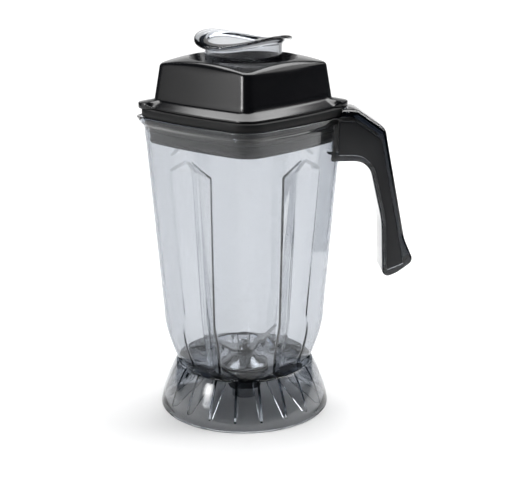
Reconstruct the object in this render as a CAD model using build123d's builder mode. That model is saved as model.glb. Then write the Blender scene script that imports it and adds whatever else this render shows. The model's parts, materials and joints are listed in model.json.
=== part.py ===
"""Blender jar: square see-through jar with skirt and handle, blade set, lid and filler cap.

Millimetres. Z is the jar's axis, z = 0 is the surface that the skirt stands on, +X points to the handle.
The jar stands on its corners: they point along X and Y, and its four sides face the diagonals.
Corner sizes run from the axis to a rounded corner, flat sizes from the axis to the middle of a side.
"""

import os
from math import copysign, cos, hypot, radians, sin, sqrt, tan

from build123d import *

os.makedirs("parts", exist_ok=True)

# Jar wall
wall = 3.2
rim_height = 251.0
rim_corner = 81.8
rim_flat = 66.4
rim_round = 20.0
shoulder_height = 84.0
shoulder_corner = 68.5
shoulder_flat = 56.0
shoulder_round = 18.0
foot_height = 40.0
foot_corner = 57.5
foot_flat = 48.5
foot_round = 18.0
bowl_steps = 5

# Rim bead and pouring lip
rim_overhang = 2.6
rim_band = 4.0
rim_cove = 4.6
lip_reach = 87.4
lip_round = 13.0
lip_drop = 8.0
lip_angle = 40.0

# Side grooves, which stand into the jar as ribs
groove_depth = 6.6
groove_half_width = 25.0
groove_foot_depth = 7.0
groove_foot_half_width = 18.0
groove_flat = 2.0
groove_eaves_drop = 39.5
groove_apex_drop = 29.0
groove_run_out = 2.2

# Floor
floor_corner = 31.0
floor_flat = 29.6
floor_height = 33.0
floor_thickness = 4.0

# Skirt
base_radius = 72.5
skirt_ledge = 0.9
skirt_bulge = 1.9
skirt_wall = 3.0
skirt_bore_radius = 69.5
skirt_bore_length = 7.0
skirt_rib_count = 20
skirt_rib_thickness = 2.0
skirt_rib_depth = 8.0

# Handle: drops from the rim, the palm's reach from the rim's corner, the other reaches from the
# corner that is named with them
handle_width = 35.0
handle_rise = 5.5
handle_step = 0.6
handle_palm_reach = 20.1
handle_palm_drop = 37.2
handle_bend_reach = 12.0  # from the palm
handle_bend_drop = 88.0
handle_heel_reach = 14.0  # from the palm
handle_heel_drop = 138.6
handle_belly_reach = 12.6  # from the heel
handle_belly_drop = 133.4
handle_toe_reach = 26.3  # from the heel
handle_toe_drop = 123.2
handle_flare_reach = 20.2  # from the bend
handle_flare_drop = 104.7
handle_knee_reach = 13.3  # from the palm
handle_knee_drop = 10.4
handle_shoulder_reach = 23.2  # back from the knee
handle_shoulder_round = 12.0
handle_knee_round = 10.0
handle_flare_round = 40.0
handle_toe_round = 6.0
handle_belly_round = 30.0
handle_heel_round = 5.0
handle_bend_round = 80.0
handle_palm_round = 15.0
handle_edge_round = 3.0
straight_use = 0.98
handle_web = 4.0

# Grip panels, each border measured in from the handle's outline
panel_tuck = 5.2
panel_under_border = 5.4
panel_palm_border = 3.3
panel_end_border = 6.2
panel_back_border = 4.9
panel_slope_border = 8.6
panel_top_border = 9.4
panel_corner_round = 3.0
panel_recess = 4.0
panel_ledge = 2.4
panel_thickness = 3.6
panel_gap = 0.2

# Lid
lid_gap = 6.5
lid_edge = 2.0
lid_band = 5.0
lid_flange_corner = 79.0
lid_flange_flat = 63.5
lid_flange_round = 14.0
lid_foot_corner = 72.2
lid_foot_flat = 55.6
lid_foot_round = 8.0
lid_shoulder_corner = 65.6
lid_shoulder_flat = 50.4
lid_shoulder_round = 7.0
lid_height = 44.5
lid_crown_radius = 260.0
lid_edge_round = 3.0
lid_wall = 2.6
lid_ear_reach = 85.4
lid_ear_round = 11.0
lid_ear_thickness = 4.6
plug_depth = 19.5
plug_wall = 2.6

# Lid gasket
gasket_depth = 21.0
gasket_thickness = 3.6
gasket_fin = 1.3
gasket_fin_height = 2.2
gasket_fin_back = 0.5
gasket_fin_count = 3
gasket_clearance = 0.35
gasket_flange_inset = 1.6

# Lid recess and filler cap
recess_radius = 44.0
recess_floor_radius = 38.0
recess_depth = 18.0
cap_radius = 31.3
cap_wall = 2.4
cap_floor = 2.6
cap_spigot_radius = 29.0
cap_spigot_length = 13.0
cap_clearance = 0.35
cap_collar_wall = 2.4
cap_flange_radius = 39.6
cap_stand = 11.4
cap_flange_thickness = 2.6
cap_flare_round = 4.5
cap_rim_round = 1.2
cap_saddle = 4.4
cap_saddle_turn = 135.0

# Bearing housing and its nut
housing_radius = 19.5
housing_brim = 1.6
housing_nose_radius = 9.0
housing_height = 8.4
tail_radius = 11.5
tail_length = 16.0
floor_gasket_thickness = 1.0
fit_clearance = 0.05
nut_washer_thickness = 0.8
nut_flange_radius = 20.0
nut_flange_thickness = 4.0
nut_across_flats = 32.0
nut_height = 9.8

# Shaft and bearings
shaft_radius = 3.0
shaft_across_flats = 4.6
shoulder_radius = 5.0
bearing_outer_radius = 9.5
bearing_inner_radius = 4.6
bearing_width = 6.0
bearing_shield_gap = 0.3
bearing_shield_radius = 7.9
bearing_shield_thickness = 0.5
bearing_shelf = 2.0
circlip_thickness = 1.2
circlip_groove = 0.8
circlip_bite = 0.9
circlip_gap = 5.0
seal_radius = 6.5
seal_height = 4.0
seal_lip = 1.2

# Blades
blade_thickness = 2.0
blade_width = 15.0
blade_tip_width = 9.0
blade_sweep = 9.0
upper_blade_hub = 9.0
upper_blade_reach = 27.0
upper_blade_rise = 20.0
upper_blade_low_rise = 9.0
lower_blade_hub = 11.0
lower_blade_reach = 33.0
lower_blade_fall = 2.5
blade_clearance = 0.8
spacer_radius = 7.0
washer_radius = 6.5
washer_thickness = 1.0
acorn_across_flats = 10.0
acorn_hex_height = 3.4
acorn_dome_radius = 4.4

# Drive socket
socket_radius = 10.5
socket_recess = 0.4
socket_gap = 0.6
socket_mouth_radius = 8.5
socket_mouth_depth = 3.0
socket_tooth_radius = 7.6
socket_root_radius = 6.2
socket_teeth = 12
socket_tooth_width = 1.9
socket_depth = 7.0


def bowed_square(corner, flat, corner_round):
    """Square on its corner with rounded corners and sides bowed out or in, all arcs tangent."""
    reach = corner - corner_round
    inset = flat - corner_round
    back = (reach**2 - inset**2) / (2 * inset - sqrt(2) * reach)
    side_centre = Vector(-back, -back) * sqrt(0.5)
    corner_centre = Vector(reach, 0)
    tangent = corner_centre + (corner_centre - side_centre).normalized() * copysign(corner_round, back)
    quarter = [
        Vector(tangent.X, -tangent.Y),
        Vector(corner, 0),
        tangent,
        Vector(flat, flat) * sqrt(0.5),
        Vector(tangent.Y, tangent.X),
    ]
    with BuildSketch() as square:
        with BuildLine():
            for turn in range(4):
                points = [point.rotate(Axis.Z, 90 * turn) for point in quarter]
                ThreePointArc(points[0], points[1], points[2])
                ThreePointArc(points[2], points[3], points[4])
        make_face()
    return square.sketch


def between(low, high, share):
    return low + (high - low) * share


def wall_section(height, inset=0.0):
    """Corner, flat and round of the straight tapered wall at a height, offset inwards by inset."""
    share = (height - shoulder_height) / (rim_height - shoulder_height)
    return (
        between(shoulder_corner, rim_corner, share) - inset,
        between(shoulder_flat, rim_flat, share) - inset,
        between(shoulder_round, rim_round, share) - inset,
    )


def bowl_section(share, inset=0.0):
    """Section of the rounded bowl, from the foot at share 0 to the shoulder at share 1."""
    swell = sin(radians(90 * share))
    return (
        between(foot_corner, shoulder_corner, swell) - inset,
        between(foot_flat, shoulder_flat, swell) - inset,
        between(foot_round, shoulder_round, swell) - inset,
    )


def stack(sections, ruled=True):
    """Solid lofted through (height, corner, flat, round) sections."""
    with BuildPart() as lofted:
        for height, corner, flat, corner_round in sections:
            with BuildSketch(Plane.XY.offset(height)):
                add(bowed_square(corner, flat, corner_round))
        loft(ruled=ruled)
    return lofted.part


def jar_form(inset, bottom_height, bottom_spread, bead):
    """Jar outside or inside: floor dish, rounded bowl, and tapered wall that may end in a rim bead."""
    dish = stack(
        [
            (bottom_height, floor_corner + bottom_spread, floor_flat + bottom_spread, foot_round),
            (foot_height, *bowl_section(0, inset)),
        ]
    )
    shares = [step / bowl_steps for step in range(bowl_steps + 1)]
    bowl = stack(
        [
            (between(foot_height, shoulder_height, share), *bowl_section(share, inset))
            for share in shares
        ],
        ruled=False,
    )
    rows = [(shoulder_height, inset), (rim_height, inset)]
    if bead:
        cove_top = rim_height - rim_band
        rows = [(shoulder_height, 0), (cove_top - rim_cove, 0), (cove_top, -bead), (rim_height, -bead)]
    upper = stack([(height, *wall_section(height, row_inset)) for height, row_inset in rows])
    with BuildPart() as form:
        add(dish)
        add(bowl)
        add(upper)
    return form.part


def groove_form(inset):
    """One V groove in the side that faces +X+Y, with a gabled top. Inset moves it towards the axis."""
    slope = groove_depth / (groove_half_width - groove_flat)
    shift = inset * hypot(1, slope)
    groove_eaves = rim_height - groove_eaves_drop
    groove_apex = rim_height - groove_apex_drop
    out_step = groove_depth * groove_run_out / (groove_apex - groove_eaves)
    rows = [
        (foot_height - floor_thickness, foot_flat - groove_foot_depth, groove_foot_half_width, groove_foot_depth),
        (shoulder_height, shoulder_flat - groove_foot_depth, groove_foot_half_width, groove_foot_depth),
        (groove_eaves, wall_section(groove_eaves)[1] - groove_depth, groove_half_width, groove_depth),
        (groove_apex + groove_run_out, wall_section(groove_apex)[1] + out_step, groove_half_width, groove_depth),
    ]
    with BuildPart() as groove:
        for height, bottom, half_width, depth in rows:
            arm_reach = groove_run_out * (half_width - groove_flat) + groove_flat
            low = bottom - shift
            high = bottom - shift + groove_run_out * depth
            with BuildSketch(Plane.XY.offset(height).rotated((0, 0, 45))):
                with BuildLine():
                    Polyline(
                        (low, -groove_flat), (low, groove_flat), (high, arm_reach), (high, -arm_reach), close=True
                    )
                make_face()
        loft(ruled=True)
    return groove.part


def washer(bottom, height, outer, inner):
    with BuildPart() as ring:
        with BuildSketch(Plane.XY.offset(bottom)):
            Circle(outer)
            Circle(inner, mode=Mode.SUBTRACT)
        extrude(amount=height)
    return ring.part


def keep(part, name):
    part.label = name
    export_step(part, f"parts/{name}.step")


# Heights of the blade set, from the floor up and down
floor_bottom = floor_height - floor_thickness
housing_bottom = floor_height + floor_gasket_thickness
housing_top = housing_bottom + housing_height
tail_bottom = housing_bottom - tail_length
nut_top = floor_bottom - nut_washer_thickness
seal_bottom = housing_bottom + bearing_shelf
upper_bearing_bottom = housing_bottom - bearing_width
lower_bearing_bottom = tail_bottom + circlip_thickness + circlip_groove
spacer_bottom = lower_bearing_bottom + bearing_width
spacer_height = upper_bearing_bottom - spacer_bottom
blade_bottom = housing_top + blade_clearance
lower_blade_bottom = blade_bottom + washer_thickness
upper_blade_bottom = lower_blade_bottom + blade_thickness
blade_top = upper_blade_bottom + blade_thickness
acorn_bottom = blade_top + washer_thickness
socket_top = tail_bottom - socket_gap
socket_bottom = skirt_bore_length + socket_recess
socket_length = socket_top - socket_bottom

# Heights of the lid
flange_bottom = rim_height + lid_gap
edge_top = flange_bottom + lid_edge
band_top = edge_top + lid_band
lid_top = flange_bottom + lid_height
recess_floor = lid_top - recess_depth
cap_flange_height = lid_top + cap_stand
plug_bottom = rim_height - plug_depth
gasket_bottom = rim_height - gasket_depth
gasket_inset = wall + gasket_clearance
plug_inset = gasket_inset + gasket_thickness + fit_clearance

# Jar inside
with BuildPart() as jar_inside:
    add(jar_form(wall, floor_height, 0, 0))
    with PolarLocations(0, 4):
        add(groove_form(wall), mode=Mode.SUBTRACT)

# Handle corners in the X Z plane, each with its round
handle_root = rim_corner - rim_round
handle_top = rim_height + handle_rise
handle_under = rim_height - handle_palm_drop
root_under = Vector(handle_root, handle_under)
palm = Vector(rim_corner + handle_palm_reach, handle_under)
bend = Vector(palm.X + handle_bend_reach, rim_height - handle_bend_drop)
heel = Vector(palm.X + handle_heel_reach, rim_height - handle_heel_drop)
belly = Vector(heel.X + handle_belly_reach, rim_height - handle_belly_drop)
toe = Vector(heel.X + handle_toe_reach, rim_height - handle_toe_drop)
flare = Vector(bend.X + handle_flare_reach, rim_height - handle_flare_drop)
knee = Vector(palm.X + handle_knee_reach, rim_height - handle_knee_drop)
shoulder = Vector(knee.X - handle_shoulder_reach, handle_top)
root_top = Vector(handle_root, handle_top)
handle_corners = [
    (palm, handle_palm_round),
    (bend, handle_bend_round),
    (heel, handle_heel_round),
    (belly, handle_belly_round),
    (toe, handle_toe_round),
    (flare, handle_flare_round),
    (knee, handle_knee_round),
    (shoulder, handle_shoulder_round),
]


def rounded_outline(corners):
    """Closed outline through (point, round) corners; two rounds share a straight that is short."""
    points = [point for point, _ in corners]
    ahead = [after - point for point, after in zip(points, points[1:] + points[:1])]
    takes = []
    for index, (_, corner_round) in enumerate(corners):
        takes.append(corner_round * tan(radians(ahead[index - 1].get_angle(ahead[index])) / 2))
    with BuildSketch() as outline:
        with BuildLine():
            Polyline(*points, close=True)
        make_face()
        for index, (point, corner_round) in enumerate(corners):
            if corner_round:
                after = (index + 1) % len(corners)
                room_before = straight_use * ahead[index - 1].length / (takes[index - 1] + takes[index])
                room_after = straight_use * ahead[index].length / (takes[index] + takes[after])
                fits = corner_round * min(1, room_before, room_after)
                fillet(outline.vertices().sort_by_distance(point)[0], fits)
    return outline.sketch


def bordered(edges):
    """Points where the lines of (start, end, border) edges cross, each line moved inwards by its border."""
    lines = []
    for start, end, border in edges:
        along = (end - start).normalized()
        lines.append((start + Vector(-along.Y, along.X) * border, along))
    points = []
    for index, (point, along) in enumerate(lines):
        before, back = lines[index - 1]
        gap = point - before
        step = (gap.X * along.Y - gap.Y * along.X) / (back.X * along.Y - back.Y * along.X)
        points.append(before + back * step)
    return points


def panel_face(inset, start):
    """Outline of a grip panel, moved inwards by inset, from a distance off the axis."""
    points = bordered(
        [
            (root_under, palm, panel_under_border + inset),
            (palm, bend, panel_palm_border + inset),
            (bend, heel, panel_palm_border + inset),
            (heel, belly, panel_end_border + inset),
            (flare, knee, panel_back_border + inset),
            (knee, shoulder, panel_slope_border + inset),
            (shoulder, root_top, panel_top_border + inset),
            (root_top, root_under, 0),
        ]
    )
    small = panel_corner_round
    rounds = [0, handle_palm_round, 0, small, small, handle_knee_round, small, 0]
    with BuildSketch() as face:
        add(rounded_outline(list(zip(points, rounds))))
        with Locations((start, handle_under)):
            Rectangle(start, handle_top, align=(Align.MAX, Align.MIN), mode=Mode.SUBTRACT)
    return face.sketch


# Handle: frame with a recess for a grip panel on each side and a web between the two pockets
half_width = handle_width / 2
panel_start = rim_corner - panel_tuck
pocket_start = rim_corner + rim_overhang + handle_step + panel_ledge
with BuildPart() as handle:
    with BuildSketch(Plane.XZ):
        add(rounded_outline([(root_under, 0), *handle_corners, (root_top, 0)]))
    extrude(amount=half_width, both=True)
    long_edges = handle.faces().filter_by(Axis.Y).edges()
    fillet(long_edges.filter_by_position(Axis.X, handle_root + 1, toe.X), handle_edge_round)
    for side in (1, -1):
        with BuildSketch(Plane.XZ.offset(side * half_width)):
            add(panel_face(0, panel_start))
        extrude(amount=-side * panel_recess, mode=Mode.SUBTRACT)
        with BuildSketch(Plane.XZ.offset(side * half_width)):
            add(panel_face(panel_ledge, pocket_start))
        extrude(amount=-side * (half_width - handle_web / 2), mode=Mode.SUBTRACT)

# Skirt profile and one rib of the skirt
shelf_reach = foot_flat - groove_foot_depth - wall
skirt_top = foot_height - skirt_wall
skirt_reach = foot_corner + skirt_ledge
with BuildSketch(Plane.XZ) as skirt_profile:
    with BuildLine():
        skirt_chord = Line((base_radius, 0), (skirt_reach, foot_height), mode=Mode.PRIVATE)
        bulge = Vector(foot_height, base_radius - skirt_reach).normalized() * skirt_bulge
        ThreePointArc(skirt_chord @ 0, skirt_chord @ 0.5 + bulge, skirt_chord @ 1)
        Polyline(
            (skirt_reach, foot_height),
            (shelf_reach, foot_height),
            (shelf_reach, skirt_top),
            (skirt_reach - skirt_wall, skirt_top),
        )
        lining = Line(
            (skirt_reach - skirt_wall, skirt_top), (skirt_bore_radius, skirt_bore_length), mode=Mode.PRIVATE
        )
        ThreePointArc(lining @ 0, lining @ 0.5 + bulge, lining @ 1)
        Polyline((skirt_bore_radius, skirt_bore_length), (skirt_bore_radius, 0), (base_radius, 0))
    make_face()
with BuildPart() as skirt_rib:
    with BuildSketch(Plane.XZ):
        with BuildLine():
            Polyline(
                (skirt_bore_radius + skirt_wall / 3, skirt_bore_length),
                (skirt_reach - skirt_wall / 3, skirt_top + skirt_wall / 3),
                (skirt_reach - skirt_wall - 2 * skirt_rib_depth, skirt_top + skirt_wall / 3),
                (skirt_bore_radius - skirt_rib_depth / 2, skirt_bore_length),
                close=True,
            )
        make_face()
    extrude(amount=skirt_rib_thickness / 2, both=True)

# Jar outside: tapered wall with grooves, rim bead and pouring lip
lip_centre = lip_reach - lip_round
with BuildPart() as jar_outside:
    add(jar_form(0, floor_bottom, wall, rim_overhang))
    with PolarLocations(0, 4):
        add(groove_form(0), mode=Mode.SUBTRACT)
    with BuildSketch(Plane.XY.offset(rim_height)):
        with Locations((-lip_centre, 0)):
            Circle(lip_round)
    extrude(amount=-lip_drop, taper=lip_angle)

# Jar body, hollowed, with a hole in its floor for the bearing housing
with BuildPart() as jar_body:
    add(jar_outside.part)
    add(jar_inside.part, mode=Mode.SUBTRACT)
    with BuildSketch(Plane.XY.offset(rim_height)):
        with Locations((-lip_centre, 0)):
            Circle(lip_round - wall)
    extrude(amount=-lip_drop, taper=lip_angle, mode=Mode.SUBTRACT)
    with BuildSketch(Plane.XY.offset(floor_bottom)):
        Circle(tail_radius + fit_clearance)
    extrude(amount=floor_thickness, mode=Mode.SUBTRACT)
keep(jar_body.part, "jar_body")

# Skirt and handle, which grow out of the jar in the same moulding
with BuildPart() as jar_skirt:
    revolve(skirt_profile.sketch, axis=Axis.Z)
    with PolarLocations(0, skirt_rib_count, start_angle=180 / skirt_rib_count):
        add(skirt_rib.part)
    add(jar_outside.part, mode=Mode.SUBTRACT)
keep(jar_skirt.part, "jar_skirt")
with BuildPart() as jar_handle:
    add(handle.part)
    add(jar_outside.part, mode=Mode.SUBTRACT)
    rim_room = wall_section(rim_height, -rim_overhang - handle_step)
    add(stack([(height, *rim_room) for height in (rim_height, handle_top + handle_rise)]), mode=Mode.SUBTRACT)
keep(jar_handle.part, "jar_handle")

# Grip panels
for panel_name, side in (("grip_panel_front", 1), ("grip_panel_back", -1)):
    with BuildPart() as grip_panel:
        with BuildSketch(Plane.XZ.offset(side * (half_width - panel_recess))):
            add(panel_face(panel_gap, panel_start + panel_gap))
        extrude(amount=side * panel_thickness)
        add(jar_outside.part, mode=Mode.SUBTRACT)
    keep(grip_panel.part, panel_name)

# Lid inside: hollow plug and block, round the recess for the filler cap
cavity_top = recess_floor + lid_wall
cavity_share = (cavity_top - band_top) / (lid_top - band_top)
collar_bottom = recess_floor - cap_spigot_length + cap_floor
collar_radius = cap_spigot_radius + cap_clearance + cap_collar_wall
recess_edge = lid_top - lid_crown_radius + sqrt(lid_crown_radius**2 - recess_radius**2)
with BuildPart() as lid_cavity:
    add(
        stack(
            [
                (plug_bottom, *wall_section(plug_bottom, plug_inset + plug_wall)),
                (flange_bottom, *wall_section(flange_bottom, plug_inset + plug_wall)),
                (band_top, lid_foot_corner - lid_wall, lid_foot_flat - lid_wall, lid_foot_round - lid_wall),
                (
                    cavity_top,
                    between(lid_foot_corner, lid_shoulder_corner, cavity_share) - lid_wall,
                    between(lid_foot_flat, lid_shoulder_flat, cavity_share) - lid_wall,
                    between(lid_foot_round, lid_shoulder_round, cavity_share) - lid_wall,
                ),
            ]
        )
    )
    with BuildSketch(Plane.XZ):
        with BuildLine():
            Polyline(
                (0, collar_bottom),
                (collar_radius, collar_bottom),
                (collar_radius, recess_floor - lid_wall),
                (recess_floor_radius + lid_wall, recess_floor - lid_wall),
                (recess_radius + lid_wall, recess_edge),
                (0, recess_edge),
                close=True,
            )
        make_face()
    revolve(axis=Axis.Z, mode=Mode.SUBTRACT)

# Lid: flange with ears, sloped band, crowned block, plug, and recess with a hole for the filler cap
with BuildPart() as lid_body:
    add(
        stack(
            [
                (flange_bottom, lid_flange_corner, lid_flange_flat, lid_flange_round),
                (edge_top, lid_flange_corner, lid_flange_flat, lid_flange_round),
                (band_top, lid_foot_corner, lid_foot_flat, lid_foot_round),
                (lid_top, lid_shoulder_corner, lid_shoulder_flat, lid_shoulder_round),
            ]
        )
    )
    with Locations((0, 0, lid_top - lid_crown_radius)):
        Sphere(lid_crown_radius, mode=Mode.INTERSECT)
    fillet(lid_body.faces().filter_by(GeomType.SPHERE).edges(), lid_edge_round)
    with BuildSketch(Plane.XY.offset(flange_bottom)):
        SlotOverall(2 * lid_ear_reach, 2 * lid_ear_round)
    extrude(amount=lid_ear_thickness)
    add(stack([(height, *wall_section(height, plug_inset)) for height in (plug_bottom, flange_bottom)]))
    add(lid_cavity.part, mode=Mode.SUBTRACT)
    with BuildSketch(Plane.XZ):
        with BuildLine():
            Polyline(
                (0, recess_floor),
                (recess_floor_radius, recess_floor),
                (recess_radius, recess_edge),
                (recess_radius, lid_top),
                (0, lid_top),
                close=True,
            )
        make_face()
    revolve(axis=Axis.Z, mode=Mode.SUBTRACT)
    with BuildSketch(Plane.XY.offset(collar_bottom)):
        Circle(cap_spigot_radius + cap_clearance)
    extrude(amount=recess_floor - collar_bottom, mode=Mode.SUBTRACT)
keep(lid_body.part, "lid_body")

# Lid gasket: band between rim and lid, and a finned sleeve round the plug
with BuildPart() as lid_gasket:
    band = wall_section(rim_height, gasket_flange_inset - rim_overhang)
    add(stack([(height, *band) for height in (rim_height, flange_bottom)]))
    fin_pitch = gasket_depth / gasket_fin_count
    sleeve = []
    for fin in range(gasket_fin_count):
        fin_bottom = gasket_bottom + fin_pitch * fin
        fin_tip = fin_bottom + gasket_fin_height
        sleeve.append((fin_bottom, *wall_section(fin_bottom, gasket_inset + gasket_fin)))
        sleeve.append((fin_tip, *wall_section(fin_tip, gasket_inset)))
        fin_top = fin_tip + gasket_fin_back
        sleeve.append((fin_top, *wall_section(fin_top, gasket_inset + gasket_fin)))
    sleeve.append((rim_height, *wall_section(rim_height, gasket_inset + gasket_fin)))
    add(stack(sleeve))
    sleeve_inset = plug_inset - fit_clearance
    add(
        stack([(height, *wall_section(height, sleeve_inset)) for height in (plug_bottom, flange_bottom)]),
        mode=Mode.SUBTRACT,
    )
    mouth = wall_section(plug_bottom, plug_inset + plug_wall)
    add(stack([(height, *mouth) for height in (gasket_bottom, plug_bottom)]), mode=Mode.SUBTRACT)
keep(lid_gasket.part, "lid_gasket")


def saddle(x, y):
    """Height of the filler cap's flange: high on one diagonal, low on the other."""
    turn = radians(2 * cap_saddle_turn)
    twist = (x**2 - y**2) * cos(turn) + 2 * x * y * sin(turn)
    return cap_flange_height + cap_saddle * twist / cap_flange_radius**2


# Filler cap: cup that stands in the recess, with a spigot through the lid and a saddle-shaped flange
saddle_steps = [cap_flange_radius * step / 4 for step in range(-5, 6)]
saddle_face = Face.make_surface_from_array_of_points(
    [[Vector(x, y, saddle(x, y)) for y in saddle_steps] for x in saddle_steps]
)
cap_bottom = recess_floor - cap_spigot_length
with BuildPart() as cap_flange:
    extrude(saddle_face, amount=cap_flange_thickness, dir=(0, 0, -1))
    with BuildSketch():
        Circle(cap_flange_radius)
    extrude(amount=2 * cap_flange_height, mode=Mode.INTERSECT)
with BuildPart() as filler_cap:
    extrude(saddle_face, amount=cap_flange_height, dir=(0, 0, -1))
    with BuildSketch(Plane.XZ):
        with BuildLine():
            Polyline(
                (0, cap_bottom),
                (cap_spigot_radius, cap_bottom),
                (cap_spigot_radius, recess_floor),
                (cap_radius, recess_floor),
                (cap_radius, 2 * cap_flange_height),
                (0, 2 * cap_flange_height),
                close=True,
            )
        make_face()
    revolve(axis=Axis.Z, mode=Mode.INTERSECT)
    add(cap_flange.part)
    with BuildSketch(Plane.XZ):
        with BuildLine():
            Polyline(
                (0, cap_bottom + cap_floor),
                (cap_spigot_radius - cap_wall, cap_bottom + cap_floor),
                (cap_spigot_radius - cap_wall, recess_floor),
                (cap_radius - cap_wall, recess_floor + cap_wall),
                (cap_radius - cap_wall, 2 * cap_flange_height),
                (0, 2 * cap_flange_height),
                close=True,
            )
        make_face()
    revolve(axis=Axis.Z, mode=Mode.SUBTRACT)
    flange_under = cap_flange_height - cap_flange_thickness
    fillet(filler_cap.edges().sort_by_distance((-cap_radius, 0, flange_under))[0], cap_flare_round)
    for rim_level in (cap_flange_height, flange_under):
        fillet(filler_cap.edges().sort_by_distance((-cap_flange_radius, 0, rim_level))[0], cap_rim_round)
keep(filler_cap.part, "filler_cap")

# Bearing housing with its gasket, washer and nut
keep(washer(floor_height, floor_gasket_thickness, housing_radius, tail_radius + fit_clearance), "floor_gasket")
pocket_radius = bearing_outer_radius + fit_clearance
clip_bottom = tail_bottom + circlip_groove
with BuildPart() as bearing_housing:
    with BuildSketch(Plane.XZ):
        with BuildLine():
            Polyline(
                (pocket_radius, tail_bottom),
                (tail_radius, tail_bottom),
                (tail_radius, housing_bottom),
                (housing_radius, housing_bottom),
                (housing_radius, housing_bottom + housing_brim),
                (housing_nose_radius, housing_top),
                (shaft_radius + bearing_shield_gap, housing_top),
                (shaft_radius + bearing_shield_gap, seal_bottom + seal_height),
                (seal_radius + fit_clearance, seal_bottom + seal_height),
                (seal_radius + fit_clearance, housing_bottom),
                (pocket_radius, housing_bottom),
                (pocket_radius, clip_bottom + circlip_thickness),
                (pocket_radius + circlip_bite, clip_bottom + circlip_thickness),
                (pocket_radius + circlip_bite, clip_bottom),
                (pocket_radius, clip_bottom),
                close=True,
            )
        make_face()
    revolve(axis=Axis.Z)
keep(bearing_housing.part, "bearing_housing")
keep(washer(nut_top, nut_washer_thickness, nut_flange_radius - 1, tail_radius + fit_clearance), "nut_washer")
with BuildPart() as retaining_nut:
    add(washer(nut_top - nut_flange_thickness, nut_flange_thickness, nut_flange_radius, tail_radius + fit_clearance))
    with BuildSketch(Plane.XY.offset(nut_top - nut_height)):
        RegularPolygon(nut_across_flats / 2, 6, major_radius=False)
        Circle(tail_radius + fit_clearance, mode=Mode.SUBTRACT)
    extrude(amount=nut_height - nut_flange_thickness)
keep(retaining_nut.part, "retaining_nut")

# Bearings, spacers, circlip and seal
race_bore = shaft_radius + fit_clearance
for bearing, bearing_bottom in (("upper", upper_bearing_bottom), ("lower", lower_bearing_bottom)):
    with BuildPart() as outer_ring:
        add(washer(bearing_bottom, bearing_width, bearing_outer_radius, bearing_shield_radius))
        shield_hole = bearing_inner_radius + bearing_shield_gap
        for shield_bottom in (bearing_bottom, bearing_bottom + bearing_width - bearing_shield_thickness):
            add(washer(shield_bottom, bearing_shield_thickness, bearing_shield_radius, shield_hole))
    keep(outer_ring.part, f"{bearing}_bearing")
    keep(washer(bearing_bottom, bearing_width, bearing_inner_radius, race_bore), f"{bearing}_race")
keep(washer(spacer_bottom, spacer_height, bearing_outer_radius, bearing_shield_radius), "bearing_spacer")
keep(washer(spacer_bottom, spacer_height, bearing_inner_radius, race_bore), "race_spacer")
with BuildPart() as circlip:
    add(washer(clip_bottom, circlip_thickness, pocket_radius + circlip_bite, pocket_radius - circlip_bite))
    with BuildSketch(Plane.XY.offset(clip_bottom)):
        Rectangle(2 * pocket_radius, circlip_gap, align=(Align.MIN, Align.CENTER))
    extrude(amount=circlip_thickness, mode=Mode.SUBTRACT)
keep(circlip.part, "circlip")
keep(washer(seal_bottom, seal_height, seal_radius, shaft_radius + bearing_shield_gap), "shaft_seal")


def flatted(radius, across):
    """Round with two flats, as on the shaft's driving end."""
    with BuildSketch() as section:
        Circle(radius)
        Rectangle(2 * radius, across, mode=Mode.INTERSECT)
    return section.sketch


# Drive shaft with a shoulder below the blades and two flats through them
shaft_bottom = socket_bottom + socket_depth
shaft_top = acorn_bottom + acorn_hex_height
with BuildPart() as drive_shaft:
    with BuildSketch(Plane.XY.offset(shaft_bottom)):
        Circle(shaft_radius)
    extrude(amount=blade_bottom - shaft_bottom)
    add(washer(housing_top + bearing_shield_gap, blade_clearance - bearing_shield_gap, shoulder_radius, shaft_radius))
    with BuildSketch(Plane.XY.offset(blade_bottom)):
        add(flatted(shaft_radius, shaft_across_flats))
    extrude(amount=shaft_top - blade_bottom)
keep(drive_shaft.part, "drive_shaft")


def blade_blank(plane, line, plan):
    """Blade bent along a line of points, trimmed to a plan outline, with a flatted hole."""
    with BuildPart() as blank:
        with BuildSketch(plane):
            with BuildLine():
                Polyline(*line)
            trace(line_width=blade_thickness)
        extrude(amount=blade_width / 2, both=True)
        with BuildSketch():
            with BuildLine():
                Polyline(*plan, close=True)
            make_face()
        extrude(amount=rim_height, mode=Mode.INTERSECT)
        with BuildSketch():
            add(flatted(shaft_radius + fit_clearance, shaft_across_flats + 2 * fit_clearance))
        extrude(amount=rim_height, mode=Mode.SUBTRACT)
    return blank.part


# Blades: the upper one turned up, one wing more than the other, the lower one level and turned down a little
tip_half = blade_tip_width / 2
hub_half = blade_width / 2
upper_middle = upper_blade_bottom + blade_thickness / 2
lower_middle = lower_blade_bottom + blade_thickness / 2
upper_line = [
    (-upper_blade_reach, upper_middle + upper_blade_low_rise),
    (-upper_blade_hub, upper_middle),
    (upper_blade_hub, upper_middle),
    (upper_blade_reach, upper_middle + upper_blade_rise),
]
upper_plan = [
    (-upper_blade_reach, -tip_half),
    (-upper_blade_hub, -hub_half),
    (upper_blade_hub, -hub_half),
    (upper_blade_reach, -hub_half + blade_sweep),
    (upper_blade_reach, tip_half),
    (upper_blade_hub, hub_half),
    (-upper_blade_hub, hub_half),
    (-upper_blade_reach, hub_half - blade_sweep),
]
lower_line = [
    (-lower_blade_reach, lower_middle - lower_blade_fall),
    (-lower_blade_hub, lower_middle),
    (lower_blade_hub, lower_middle),
    (lower_blade_reach, lower_middle - lower_blade_fall),
]
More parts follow.
